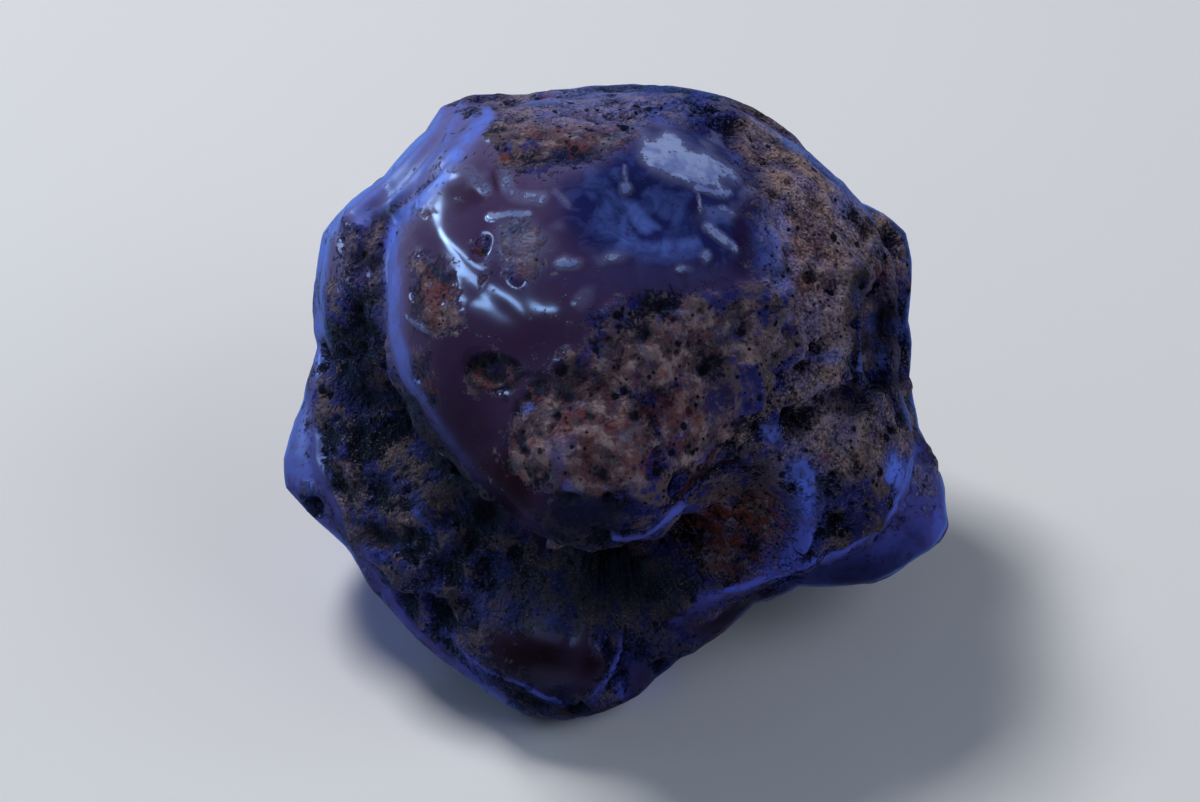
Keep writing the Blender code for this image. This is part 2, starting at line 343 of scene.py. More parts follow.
# Areas, lines and spots are in millimetres of the face as it is looked at.
SMOOTH_AREAS = {
    "cap": (
        (-12.6, 29.4), (-16.5, 24.6), (-22.2, 18.6), (-23.2, 15.4), (-23, 7), (-21.4, 2.2), (-19.8, -0.9),
        (-16.7, -4.9), (-14, -8.4), (-9.6, -11.6), (-6.4, -12.6), (-6.6, -9.6), (-9.6, -7.4),
        (-11.4, -4.8), (-11.3, -3), (-9.7, 0.2), (-6.7, 2.9), (-3.7, 5.9), (-1.2, 9.2), (2.8, 10.6),
        (8.8, 10.4), (13, 12.1), (14.9, 12), (14.6, 15), (14.4, 18.7), (13.6, 22.4), (12.4, 26),
        (10.3, 28.8), (6, 28.8), (2.8, 27.6), (-0.7, 25), (-3.7, 24.2), (-7.2, 23.2), (-11.2, 23.7),
        (-13, 26.7),
    ),
    "brow folds": (
        (-17.6, 30.2), (-12.6, 29.8), (-16.5, 24.4), (-22.1, 18.4), (-24.5, 17.6), (-25.8, 17.6),
        (-27.9, 19.4), (-22.8, 23.6), (-19.3, 27.4),
    ),
    "left bulge": (
        (-30.4, 1.5), (-34.5, -4), (-34.5, -9.5), (-31.5, -13), (-26.3, -16), (-29, -8.4), (-30.2, -5.1),
    ),
    "right bulge": (
        (30.8, -4), (35, -10.5), (34.5, -15), (26.3, -19.5), (18, -19.8), (19, -17.4), (23.1, -15.7),
        (26.4, -13.4), (28.9, -11), (30.2, -7.3),
    ),
    "underside band": (
        (6.5, -22.6), (14, -19.6), (19.7, -17.6), (19.7, -19.6), (14.3, -21.6), (8, -25.4),
    ),
    "foot window": (
        (-12.4, -23.2), (-9.2, -22.9), (-6.5, -22.4), (-3, -22.8), (-1.2, -25), (-0.3, -26.8),
        (-1.3, -29.4), (-4, -30), (-7.8, -29.1), (-12.2, -26.6),
    ),
}

# Lines: each is worn smooth over its width, by a share, and lit blue within a reach, by a
# strength, along the points that it runs through.
Line = namedtuple("Line", "width worn reach blue path")
LINES = {
    "cap rim": Line(1.5, 1, 0.7, 1, (
        (-12.4, 28.9), (-16.2, 24.2), (-16.9, 22.9), (-21.7, 18), (-22.2, 15.4), (-22, 7.2), (-21.6, 5.6),
        (-20.6, 2.4), (-19, -0.6), (-15.9, -4.5), (-13.2, -7.9), (-9.6, -11.1), (-6.4, -13.9),
    )),
    "cap bevel": Line(0.7, 1, 1, 0, ((-17.3, 7), (-15.8, 0), (-13.8, -5.7), (-12.4, -8.7))),
    "brow edge": Line(1.2, 1, 0.7, 0.6, (
        (-17.6, 29), (-18.6, 26.8), (-22.3, 22.9), (-25.2, 20.6), (-27.6, 18.7),
    )),
    "brow fold": Line(1, 1, 0.6, 0.5, (
        (-12.9, 28.6), (-17.2, 25), (-20.5, 21), (-23.2, 19.2), (-25.6, 19), (-25.3, 17.8),
    )),
    "terrace rim": Line(1.1, 0.8, 0.8, 0.85, (
        (-27.9, 18), (-29, 16.3), (-29.4, 11), (-29.5, 7.2), (-29.6, 4.2),
    )),
    "left ridge": Line(0.9, 0.78, 0.6, 0.4, (
        (-29.7, 4.1), (-30.3, -1), (-30.1, -5.1), (-28.9, -8.1), (-27.3, -11.4), (-25.8, -14.5),
        (-23.5, -18.3), (-19.9, -23), (-15, -27), (-11, -29.9),
    )),
    "foot rim": Line(0.5, 0.7, 0.3, 0.8, (
        (-16, -23.5), (-14.6, -25.9), (-12.2, -27.3), (-9.2, -28.7), (-6, -30), (-3.5, -30.3),
        (-1.7, -29.8), (-0.6, -28.2), (0.3, -26.6), (1, -24.8), (0.8, -23.7),
    )),
    "chin rim": Line(0.6, 1, 0.35, 0.7, (
        (0.1, -13.8), (3.3, -13.7), (4.3, -13.1), (5.3, -12.1), (6.1, -11.2), (8.3, -10.3),
    )),
    "ridge": Line(2.6, 0.72, 1.8, 0.9, ((19, -7), (19.5, -10.6), (19, -14), (16.6, -17))),
    "ridge foot": Line(1.4, 0.7, 0.65, 0.52, ((17, -16.8), (14, -18.4), (10.5, -19.6), (6, -22.2))),
    "keel": Line(1, 0.8, 0.5, 0.85, (
        (8.8, -19.8), (13.8, -18.5), (18.7, -16.9), (22.9, -15.4), (26.2, -13.1), (28.6, -10.7),
        (29.8, -7.1), (30.2, -4.4),
    )),
}

# Spots: soft-edged, each with its centre, its reach across and along, strength and any turn.
SPOTS = {
    "crusted": (
        (-18.8, 14.2, 0.9, 1, 0.7), (-18, 11.6, 2.2, 3, 0.95, 12), (-17.6, 8.4, 2.2, 1.9, 0.95),
        (-29.8, -9.8, 1.2, 1.9, 0.9, 25), (-12.9, 15.7, 1.1, 1.2, 0.9), (-8.1, 14.3, 1.7, 1.3, 0.8),
        (-9.9, 12.4, 1.3, 1, 0.7), (-19.2, 19.1, 0.9, 0.7, 0.8), (-18.8, 2.2, 1.2, 3.3, 0.75, 20),
        (-12.1, 26.8, 0.7, 0.6, 0.9), (-12, 3, 2.5, 1.8, 0.95, -12), (-8.8, 15, 2.4, 3.2, 0.7, 35),
        (-12.7, 11.9, 0.5, 0.6, 0.7), (16.3, 15, 1.6, 5.6, 0.9, 4), (31.2, -8.2, 1.1, 2.3, 0.85, 10),
        (14.4, 24, 1, 2, 0.7, 30), (8.8, 28.3, 4, 1.4, 0.8, -12), (12.9, 25.4, 1.3, 2.6, 0.7, 28),
    ),
    "smoothed": (
        (10.7, 0.2, 1, 1.6, 0.8), (15.6, -2.3, 0.7, 1.1, 0.75, 30), (16.2, -3.4, 0.5, 0.8, 0.7),
        (28.3, -7.4, 1.1, 2.3, 0.85), (-3.2, -11.8, 3.8, 2, 0.7), (-28, 14, 1.6, 4, 0.8),
        (-22.5, -19.8, 0.9, 0.9, 0.8), (3, -28, 1, 1.8, 0.9),
    ),
    "sandy": (
        (-3.2, 28.2, 9, 2.8, 0.75), (16.8, 23, 3.2, 5.5, 0.95, 30), (19.5, 17, 4, 6, 1),
        (24, 17.5, 3.5, 4, 0.65), (21, 9, 3.4, 6, 0.6), (20.5, 2, 3.2, 4, 0.6),
        (21.5, -4.5, 4.2, 3.5, 0.65), (27.5, -3, 2.5, 5, 0.5), (27.5, 14.5, 2.2, 3.2, 0.5),
        (-3, -4, 6.2, 6, 0.75), (-9, -6, 2.4, 3, 0.7), (-26.5, -8.5, 1.6, 2.2, 0.4), (4, 4, 7, 3.5, 0.6),
        (8.5, -2, 4.5, 5, 0.5), (10, 6.5, 6, 3, 0.5), (-24.5, 12.5, 2, 6, 0.2),
        (-20.3, -12.4, 1.1, 0.9, 0.7), (-16, -21.3, 0.7, 0.6, 0.7), (-17.6, 10, 2, 4.5, 0.6, 10),
        (-8.5, 15, 2.6, 2.6, 0.7), (-19.2, 19.1, 0.9, 0.7, 0.9), (-12, 3, 1.2, 0.7, 0.5, -12),
        (12.5, -13, 4.6, 4, 0.45), (31.2, -8, 1.3, 2.5, 0.8, 10),
    ),
    "rusty": (
        (-18.3, 11.2, 0.9, 1.7, 0.8, 10), (-17, 7.9, 1.2, 1, 0.5), (-12.9, 15.4, 1, 0.9, 1),
        (-8.1, 14.3, 1.6, 1.2, 0.8), (-6.2, 30.1, 0.9, 0.6, 1), (0, 28.1, 0.7, 0.5, 0.9),
        (-10.6, 24.8, 0.6, 0.5, 1), (2.1, 26.8, 0.6, 0.4, 1), (5.3, 26.8, 0.5, 0.4, 1),
        (27.4, 12.6, 1.1, 1.3, 0.6), (20.7, -6.3, 0.6, 0.5, 1), (-7.7, -3.9, 0.9, 0.7, 1),
        (-2, -3, 6.5, 6.5, 0.4), (13, -12.8, 5, 4.4, 0.85), (-18.8, 2.2, 1.2, 3.2, 0.6, 20),
        (-12, 2.6, 2.2, 1.5, 0.8), (19.5, 12, 3, 6, 0.35), (6, -1, 4, 5, 0.35), (-24.6, 14.1, 1.5, 2, 0.4),
    ),
    "pale": (
        (10.5, 18.7, 2, 0.9, 0.25, 10), (11.3, 19.6, 0.6, 0.4, 0.9), (9.3, 14.6, 0.6, 0.6, 0.85),
        (7.4, 13.3, 0.6, 0.4, 0.85), (-0.3, 14.1, 1.5, 0.6, 0.85), (-4.4, 13.9, 0.9, 0.7, 0.95),
        (13.4, 20.4, 1, 0.8, 0.6), (-2.4, 10.4, 0.7, 1, 0.6), (12.2, 19.2, 0.5, 0.4, 0.7),
        (16.2, 14.6, 1.2, 2.6, 0.35), (10.2, 26, 0.9, 1.4, 0.6), (-6.4, -23.2, 2, 0.8, 0.4, -10),
        (-6, -27.9, 1.6, 1.3, 0.35), (-9.6, -22.1, 0.6, 0.4, 0.9), (-14, 22.4, 1.5, 0.9, 0.35, -30),
        (-5.6, 17, 0.8, 0.6, 0.4), (1.3, 21.4, 0.5, 0.5, 0.9), (-8.8, 15.4, 2.2, 3, 0.75, 35),
        (-6, -1.3, 0.7, 0.5, 0.5), (20.5, -8.6, 0.8, 0.6, 0.5),
    ),
    "maroon": (
        (-15.2, 21, 2.2, 1.6, 0.6), (-11.6, 22.3, 0.8, 1.4, 0.7), (-10.5, -8.5, 3.2, 4, 0.95, -35),
        (-14.5, -2, 2.5, 5, 0.45, 25), (-15, 3, 3, 6, 0.25, 10), (4, 12.3, 10, 1.5, 0.15),
        (13.2, 16.7, 0.9, 3.2, 0.6), (8.5, 19.6, 0.8, 1.2, 0.3), (-8.4, -25, 3.7, 2.2, 1, -15),
        (-2.1, -26.7, 1.5, 1.2, 0.9), (-9, 7, 4.5, 3, 0.3), (-17.5, -20.9, 1.2, 1.7, 0.7),
        (4, 28.9, 2.3, 0.5, 0.9),
    ),
    "bluish": (
        (0, 29.5, 9, 1.8, 0.45), (15.9, 15.5, 1.3, 3.4, 0.6), (16.9, 12.2, 1.2, 1.6, 0.5),
        (-17.5, -23.5, 2.5, 2, 0.4, -38), (28.3, -7.4, 1.1, 2.3, 0.9), (21.3, 4.9, 1.5, 0.9, 0.5),
        (24.2, 10.3, 0.4, 1.2, 0.4), (26, 7.5, 0.9, 1.2, 0.4), (27.3, 4.6, 0.7, 0.8, 0.6),
        (28.8, 6.8, 0.9, 1, 0.4), (24, 19.2, 1.3, 1.3, 0.4), (-3.7, -8.6, 0.8, 1, 0.6),
        (0, -9.4, 0.7, 0.9, 0.5), (0.8, -28.9, 0.8, 0.6, 0.8), (15.8, -2.7, 1, 1.2, 0.6, 20),
        (23.1, 20.1, 1.1, 0.9, 0.35), (-22.5, -19.8, 0.8, 0.8, 0.5), (-8.3, -0.9, 0.7, 0.6, 0.6),
        (17.6, 15.5, 0.9, 4, 0.4, 8), (-18.8, -12.4, 0.45, 2.2, 0.8, 15),
        (-23.2, -15.2, 1.7, 0.6, 0.6, -25), (-11.7, -19.5, 2.3, 2.8, 0.35), (-14, -27, 2.6, 1, 0.6, -38),
        (2.2, -26.6, 1, 3, 0.2, -15), (4.5, 12.2, 8, 1.6, 0.07), (23.6, 0.6, 1.4, 1.4, 0.14),
        (21, 7.5, 3.2, 3.2, 0.08), (-20.2, -18.4, 3.2, 2.8, 0.12, -38), (-25.4, 11.6, 2.4, 5, 0.1),
        (-9.2, 14.6, 2.4, 2.8, 0.06), (-5, -5.8, 1.1, 2, 0.35), (4.4, -25.3, 3, 3, 0.15),
        (19.5, -12.5, 1.6, 3.4, 0.6, 5), (17, -15.4, 2, 1.4, 0.9, 35), (15.6, -16.8, 2.4, 0.9, 0.75, 25),
        (33, -12, 0.6, 2.6, 0.6), (1.2, -27.6, 0.5, 1.6, 0.5, -20), (-6.8, -20.8, 2.2, 1, 0.55, -25),
    ),
    "indigo": (
        (27, 7, 2.6, 5.5, 0.9), (-3.2, -11.9, 3.6, 2.2, 0.9), (13.9, -6, 1.9, 1.5, 0.8),
        (-25.2, 0.6, 2.4, 2.1, 0.9), (10.7, 0.2, 1.4, 2.1, 0.6), (15.4, 16, 1.2, 3.6, 0.5, 8),
        (14.4, 22, 1.1, 2.4, 0.8, 20), (6, -27, 5, 4, 0.6, -35), (-7, -29.5, 6, 1.6, 0.7, -15),
        (24, -17.5, 8, 1.8, 0.8, 10), (27.2, -15.6, 4.4, 2.3, 0.75, 20), (-20, -19.5, 3, 2.4, 0.6, -38),
        (-25, -13.5, 2.5, 1.6, 0.5), (23.3, 0.4, 2.2, 1.8, 0.3), (4.5, 12.4, 9, 1.6, 0.3),
    ),
    # Painted shade: darkening in the recess under the cap, in hollows and pits, under rims and over the
    # lower side.
    "shaded": (
        (0.6, -18.2, 7, 4.4, 1, 10), (27.2, 7.7, 0.9, 1.6, 0.85), (27.8, 2, 1.2, 1, 0.7),
        (25.7, 17.4, 0.9, 0.7, 0.6), (26.4, 14.4, 1.2, 0.5, 0.6), (-19.3, 9.5, 0.8, 0.7, 0.7),
        (23.6, 0.4, 2, 1.8, 0.2), (24, -11.5, 3.6, 3.2, 0.35), (-3, 2, 3.4, 1.8, 0.7),
        (-3, -12.3, 6, 2.6, 0.75), (20.8, 15, 2.8, 4.2, 0.2), (30, -14.6, 2.2, 1.6, 0.45, 25),
        (-14.2, -23.4, 1.3, 1.6, 0.6), (-16, -19.9, 1.5, 1.7, 0.55), (-24.6, 14.1, 1.4, 1.5, 0.7),
        (-23, 18.6, 1.6, 1.4, 0.6), (-25.3, 0.7, 2.2, 1.9, 0.5), (-29.8, -9.9, 1.3, 1.2, 0.7),
        (27, -10.7, 0.6, 0.5, 0.8), (26.9, -12.7, 0.5, 0.4, 0.8), (28.4, -9.4, 0.5, 0.4, 0.8),
        (-23.1, -12.9, 2.3, 1.5, 0.6, -20), (-12.1, 26.8, 0.6, 0.5, 0.8), (13, -21.2, 6, 1.4, 0.85, 25),
        (-17, -10, 7, 9, 0.55, 30), (-10, -20.5, 6, 4, 0.6), (-6, -27, 8, 4, 0.65),
        (-6.5, -30, 6, 1.2, 0.8, -10), (13, -13, 5, 4.4, 0.12), (25, -17.5, 7, 2.2, 0.85, 10),
        (3.5, -25.5, 5, 5, 0.6, -35), (-11.5, -10.5, 3.4, 2.6, 0.8, -40), (5, -21.5, 4, 2, 0.7, 35),
    ),
}
PALE_AREAS = (
    ((2.8, 27.4), (3, 24.5), (4.2, 23.1), (6.8, 22.1), (8.5, 21.6), (11.4, 21.1), (10.9, 22.1),
     (12.5, 22), (12.4, 23.3), (11.4, 23.7), (10, 24.7), (8, 25.1), (7.3, 26.2), (5.4, 27.7),
     (5.1, 26.5), (3.8, 26.2)),
)
# Areas of slate blue light in the indigo glass, each with its strength.
SHARD_AREAS = (
    (((-1.4, 21.6), (1.2, 21.4), (1.6, 19.4), (-1, 18.8)), 0.42),
    (((3.6, 21.3), (8.3, 20.8), (6.4, 17.8), (2.4, 19.9)), 0.38),
    (((0.5, 20.6), (2.4, 20.1), (4.7, 17.5), (3.6, 16.8), (2.2, 17.9)), 0.85),
    (((0.7, 16.6), (4.5, 16.3), (8.4, 16.5), (9.6, 14.6), (6, 13.8), (3, 13.8), (0.4, 15)), 0.5),
    (((9.1, 19.7), (12.2, 19.4), (11.9, 17.8), (9.7, 17.3)), 0.45),
    (((-2.6, 24), (0.8, 23.4), (0.5, 20.9), (-1.8, 20), (-3, 21.5)), 0.22),
    (((-1, 20.2), (1.8, 18.6), (2.2, 16), (-1, 16.6), (-2.4, 18.4)), 0.3),
    (((10.8, 28.2), (12.4, 26), (14.2, 24.6), (13, 23.2), (11.4, 25)), 0.5),
)
INDIGO_AREAS = (
    ((-2.7, 24.5), (2.8, 27.4), (9, 29), (12.6, 26.6), (14.2, 22.6), (15.2, 18.7), (15.4, 12.8),
     (14.8, 13.6), (4, 13.2), (-1.5, 13.9), (-5, 17.5), (-6, 21.5)),
)
# Lines with their width and strength. The one across the top of the cap, from (-1.2, 25.7) to (2.8, 28.1),
# is a painted highlight.
PALE_LINES = (
    (((9.5, 17.4), (12.3, 15.4)), 1, 0.75), (((5.2, 8.8), (8, 8.8)), 0.4, 0.6),
    # The second line here is the painted highlight across the top of the cap.
    (((-12.2, 18.5), (-8.5, 18.8)), 0.8, 0.9), (((-1.2, 25.7), (2.8, 28.1)), 0.55, 0.9),
    (((23.8, 4.9), (25.2, 2.6), (26.6, 1.1)), 0.4, 0.8), (((21.6, -3.9), (23.4, -5.4)), 0.4, 0.7),
    (((19.4, 0.5), (20.4, -0.9)), 0.4, 0.5), (((1.3, 23.6), (1.5, 21.2)), 0.35, 0.7),
    (((8.7, 21.2), (8.8, 19.1)), 0.35, 0.8), (((8.6, 21.3), (11.6, 20.8)), 0.7, 1),
    (((-3, -22.7), (-2.1, -23.5), (-1.4, -24.8)), 0.7, 1), (((-4, -24.1), (-2.5, -23.9)), 0.6, 0.9),
    (((-8.1, -20.5), (-6.9, -21.6), (-4.9, -22.1)), 0.7, 0.7), (((-20.7, 8.5), (-18.9, 6.9)), 0.5, 0.9),
    (((25.9, 9.1), (27.7, 10.3)), 0.5, 0.45), (((26.3, 16.4), (27.2, 15.2), (27.3, 14.2)), 0.4, 0.8),
    (((-16.4, 23.5), (-14.5, 23.2), (-12.8, 21.1)), 1.2, 0.62),
    (((-10.9, 22.9), (-9.9, 20.6), (-7.2, 20.3)), 1.5, 0.6), (((-5.9, 21), (-4.5, 19.6)), 0.6, 0.5),
)
# Lines of painted shade with their width and strength: round the eye hollow, under the cap's rim and in the
# right hollow.
PAINTED_SHADE_LINES = (
    (((-14.4, 2.9), (-13.6, 4), (-11.7, 4.5), (-10, 3.9), (-9.3, 2.7)), 1, 0.9),
    (((-14.4, 2.9), (-14, 1.8), (-12, 1.1), (-10, 1.6), (-9.3, 2.7), (-7.4, 2.9)), 0.6, 0.75),
    (((-20.4, -0.6), (-18.4, -3.4), (-16.5, -6.2), (-14.2, -9.2), (-11.6, -11.6)), 2.2, 0.8),
    (((24.6, 12.8), (23.9, 10.9), (23.8, 7.1), (24.8, 5.6)), 1.6, 0.7),
)
# Smooth areas with blue light over them, and its strength.
BLUE_AREAS = (("brow folds", 0.25), ("left bulge", 0.55), ("right bulge", 0.34))
# The glass glows violet beside this line over the top of the cap.
CAP_TOP = ((-12, 27), (-2, 24), (9, 25))
# How close the folds along the brow lie, in radians of a wave to the millimetre.
FOLD_WAVE = 3.6

# How strong the painted blue rim light on the silhouette's thin edge is, against the angle round the face in
# degrees.
RIM_LIGHT_ROUND = (
    (-180, 1), (-140, 0.85), (-115, 0.6), (-90, 0.2), (-60, 0.3), (-30, 0.7),
    (0, 0.9), (35, 0.8), (60, 0.6), (90, 0.5), (125, 0.9), (180, 1),
)

# The dome's crust is soft and blotchy, and the crust beyond it is fine and sharp.
DOME_MIDDLE = (-3.5, 7.0)
DOME_RADII = (18.5, 21.0)


def rise(value, low, high):
    """Goes smoothly from 0 at `low` to 1 at `high`."""
    share = np.clip((value - low) / (high - low), 0, 1)
    return share * share * (3 - 2 * share)


def spot(seen, x, y, across, along, strength, turn=0):
    near = seen - (x, y)
    angle = radians(turn)
    u = (near[:, 0] * cos(angle) + near[:, 1] * sin(angle)) / across
    v = (near[:, 1] * cos(angle) - near[:, 0] * sin(angle)) / along
    return strength * rise(-np.hypot(u, v), -1.7, -0.3)


def line_distance(seen, path):
    """How far each point of the face is from a line through the path's points."""
    nearest = np.full(len(seen), np.inf)
    for start, end in zip(np.array(path)[:-1], np.array(path)[1:]):
        along = end - start
        share = np.clip((seen - start) @ along / (along @ along), 0, 1)
        nearest = np.minimum(nearest, norm(seen - start - share[:, None] * along, axis=1))
    return nearest


def line_field(seen, path, width):
    """1 along a line of that width, falling softly to 0 beside it."""
    return rise(-line_distance(seen, path), -0.75 * width, -0.25 * width)


def area_field(seen, corners, softness):
    """1 inside an area of the face, falling softly to 0 outside it."""
    corners = np.array(corners)
    inside = np.zeros(len(seen), bool)
    for (x0, y0), (x1, y1) in zip(corners, np.roll(corners, -1, axis=0)):
        between = (y0 > seen[:, 1]) != (y1 > seen[:, 1])
        crossing = x0 + (seen[:, 1] - y0) * (x1 - x0) / (y1 - y0 + 1e-12)
        inside ^= between & (seen[:, 0] < crossing)
    gap = line_distance(seen, np.vstack((corners, corners[:1])))
    return rise(np.where(inside, gap, -gap), -softness, softness)


def strongest(fields):
    return np.max(fields, axis=0)


# The skin as the face is looked at. `exact` holds where its points are seen; `steady` and
# `seen` wobble a little and more, for natural edges; `front` is 1 on the side in sight.
Sight = namedtuple("Sight", "points exact steady seen facing front")
STEADY_WOBBLE = 0.35


def sight_of(points, normals):
    wobble = np.column_stack((noise(points, 3.0, 3.1), noise(points, 3.0, 11.7))) * 0.7
    wobble += np.column_stack((noise(points, 1.2, 5.3), noise(points, 1.2, 17.9))) * 0.4
    exact = in_sight(points)
    eye = np.array((0, 0, SIGHT_DISTANCE)) - points
    eye /= norm(eye, axis=1)[:, None]
    facing = (normals * eye).sum(axis=1)
    front = rise(facing, -0.15, 0.1)
    return Sight(points, exact, exact + STEADY_WOBBLE * wobble, exact + wobble, facing, front)


def spot_field(at, name):
    """The strongest of the named spots at each point of the skin."""
    return strongest([spot(at.seen, *values) for values in SPOTS[name]])


def all_round(at, near, far, join=np.add):
    """A field laid out on the side in sight, joined to a scattered one on the rest."""
    return join(at.front * near, (1 - at.front) * far)


def scattered(at, size, offset, low, high):
    """Soft patches about `size` across, strewn by noise."""
    return rise(noise(at.points, size, offset), low, high)


def silhouette_fields(at):
    """The ring within the silhouette, where the relief is calmer, and the thin edge with its painted blue
    rim light.
    """
    around = np.arctan2(at.exact[:, 1], at.exact[:, 0])
    share_out = norm(at.exact, axis=1) / outline_radius(around)
    ring = rise(share_out, 0.90, 0.96) * rise(-at.facing, -0.6, -0.2)
    # A painted blue rim light, where the skin turns away from the eye at the silhouette.
    edge = rise(share_out, 0.945, 0.978)
    edge *= rise(at.facing, -0.15, 0.0) * rise(-at.facing, -0.42, -0.1)
    edge *= scattered(at, 5.0, 70.0, -0.8, 0.3)
    edge *= np.interp(np.degrees(around), *zip(*RIM_LIGHT_ROUND))
    return ring, edge


def crust_field(at, edge):
    smooth = [area_field(at.seen, area, 2.0) for area in SMOOTH_AREAS.values()]
    for line in LINES.values():
        smooth.append(line.worn * line_field(at.steady, line.path, line.width))
    smooth.append(spot_field(at, "smoothed"))
    crust = np.maximum(1 - strongest(smooth), spot_field(at, "crusted"))
    wild = noise(at.points, 9.0, 21.0) + 0.6 * noise(at.points, 4.0, 2.0)
    # The crust is cleared under the painted rim light.
    return all_round(at, crust, rise(wild, -0.15, 0.25)) * (1 - 0.9 * edge)


def pale_field(at):
    pale = [area_field(at.steady, area, 1.1) for area in PALE_AREAS]
    for path, width, strength in PALE_LINES:
        pale.append(strength * line_field(at.steady, path, width))
    return rise(at.facing, 0.0, 0.35) * strongest([*pale, spot_field(at, "pale")])


def indigo_field(at):
    near = [area_field(at.seen, area, 2.4) for area in INDIGO_AREAS]
    near = strongest([*near, spot_field(at, "indigo")])
    return all_round(at, near, scattered(at, 13.0, 80.0, 0.1, 0.5))


def glow_field(at):
    """Where the glass turns from plum to violet: partly its own colour, partly a painted sheen along the
    rims and over the top of the cap, the cap rim's share fading towards the bottom.
    """
    near = strongest([
        np.exp(-line_distance(at.exact, LINES["cap rim"].path) / 2.5) * rise(at.exact[:, 1], -12, 18),
        0.8 * np.exp(-line_distance(at.exact, CAP_TOP) / 4.5),
        0.9 * np.exp(-line_distance(at.exact, LINES["terrace rim"].path) / 2.5),
        0.9 * area_field(at.seen, SMOOTH_AREAS["brow folds"], 1.0),
    ])
    return all_round(at, near, 0.7 * scattered(at, 12.0, 15.0, -0.4, 0.6))


def folds_field(at):
    """Thin folds along the brow, raised and blue."""
    waves = line_distance(at.exact, LINES["brow edge"].path) * FOLD_WAVE
    waves = np.sin(waves + 1.5 * noise(at.points, 4.0, 44.0))
    return at.front * area_field(at.seen, SMOOTH_AREAS["brow folds"], 1.0) * waves


def blue_field(at, folds):
    bands = {
        name: line.blue * np.exp(-(line_distance(at.steady, line.path) / line.reach) ** 2)
        for name, line in LINES.items()
    }
    bands["cap rim"] *= rise(at.exact[:, 1], -14, 14)
    areas = [strength * area_field(at.seen, SMOOTH_AREAS[name], 1.0) for name, strength in BLUE_AREAS]
    near = strongest([*bands.values(), *areas, spot_field(at, "bluish")])
    far = 0.7 * scattered(at, 10.0, 90.0, -0.1, 0.5)
    return np.maximum(all_round(at, near, far, np.maximum), 0.7 * folds)


def shaded_field(at):
    # Painted shade: where the colour is darkened towards black.
    shaded = [strength * line_field(at.steady, path, width) for path, width, strength in PAINTED_SHADE_LINES]
    return at.front * strongest([*shaded, spot_field(at, "shaded")])


def fine_field(at):
    """1 where the crust is fine and sharp, 0 on the dome, where it is soft and blotchy."""
    out = norm((at.seen - DOME_MIDDLE) / DOME_RADII, axis=1)
    return 1 - at.front * rise(-out, -1.08, -0.92)


def paint_fields(points, normals):
    """What the skin is made of, with the shade, sheen, rim light and highlight painted into its colour: soft
    fields between 0 and 1 over its points.
    """
    at = sight_of(points, normals)
    ring, edge = silhouette_fields(at)
    folds = folds_field(at)
    far_sandy = 0.7 * scattered(at, 11.0, 40.0, -0.2, 0.5)
    far_rusty = 0.7 * scattered(at, 6.0, 60.0, 0.25, 0.6)
    shards = [strength * area_field(at.steady, area, 0.5) for area, strength in SHARD_AREAS]
    return {
        "crust": crust_field(at, edge),
        "sandy": all_round(at, spot_field(at, "sandy"), far_sandy, np.maximum),
        "rusty": all_round(at, spot_field(at, "rusty"), far_rusty, np.maximum),
        "pale": pale_field(at),
        "shards": at.front * strongest(shards),
        "indigo": indigo_field(at),
        "maroon": at.front * spot_field(at, "maroon"),
        # The glass's violet, partly painted sheen.
        "glow": glow_field(at),
        "blue": blue_field(at, folds),
        "low": rise(-at.exact[:, 1], 2, 18),
        # Painted shade.
        "shaded": shaded_field(at),
        "folds": folds,
        "fine": fine_field(at),
        "ring": ring,
        # Painted blue rim light on the silhouette's thin edge.
        "edge": edge,
    }


# The pits repeat after this many cells each way.
PIT_LATTICE = 24


def pits(points, cell, radius, seed):
    """How deep each point lies in seeded round pits: 1 at a pit's middle, 0 outside it."""
    low = np.floor(points / cell).astype(int)
    lattice = np.random.RandomState(seed).uniform(0, 1, (*[PIT_LATTICE] * 3, 4))
    deepest = np.zeros(len(points))
    for step in product((-1, 0, 1), repeat=3):
        here = low + step
        draw = lattice[tuple((here % PIT_LATTICE).T)]
        reach = radius * (0.35 + 0.65 * draw[:, 3])
        gap = norm(points - (here + draw[:, :3]) * cell, axis=1)
        deepest = np.maximum(deepest, rise(-gap / reach, -1.0, -0.35))
    return deepest


# The whole skin is set back by this, so that the fine forms stay near the solid's surface.
WORN_DOWN = 0.15


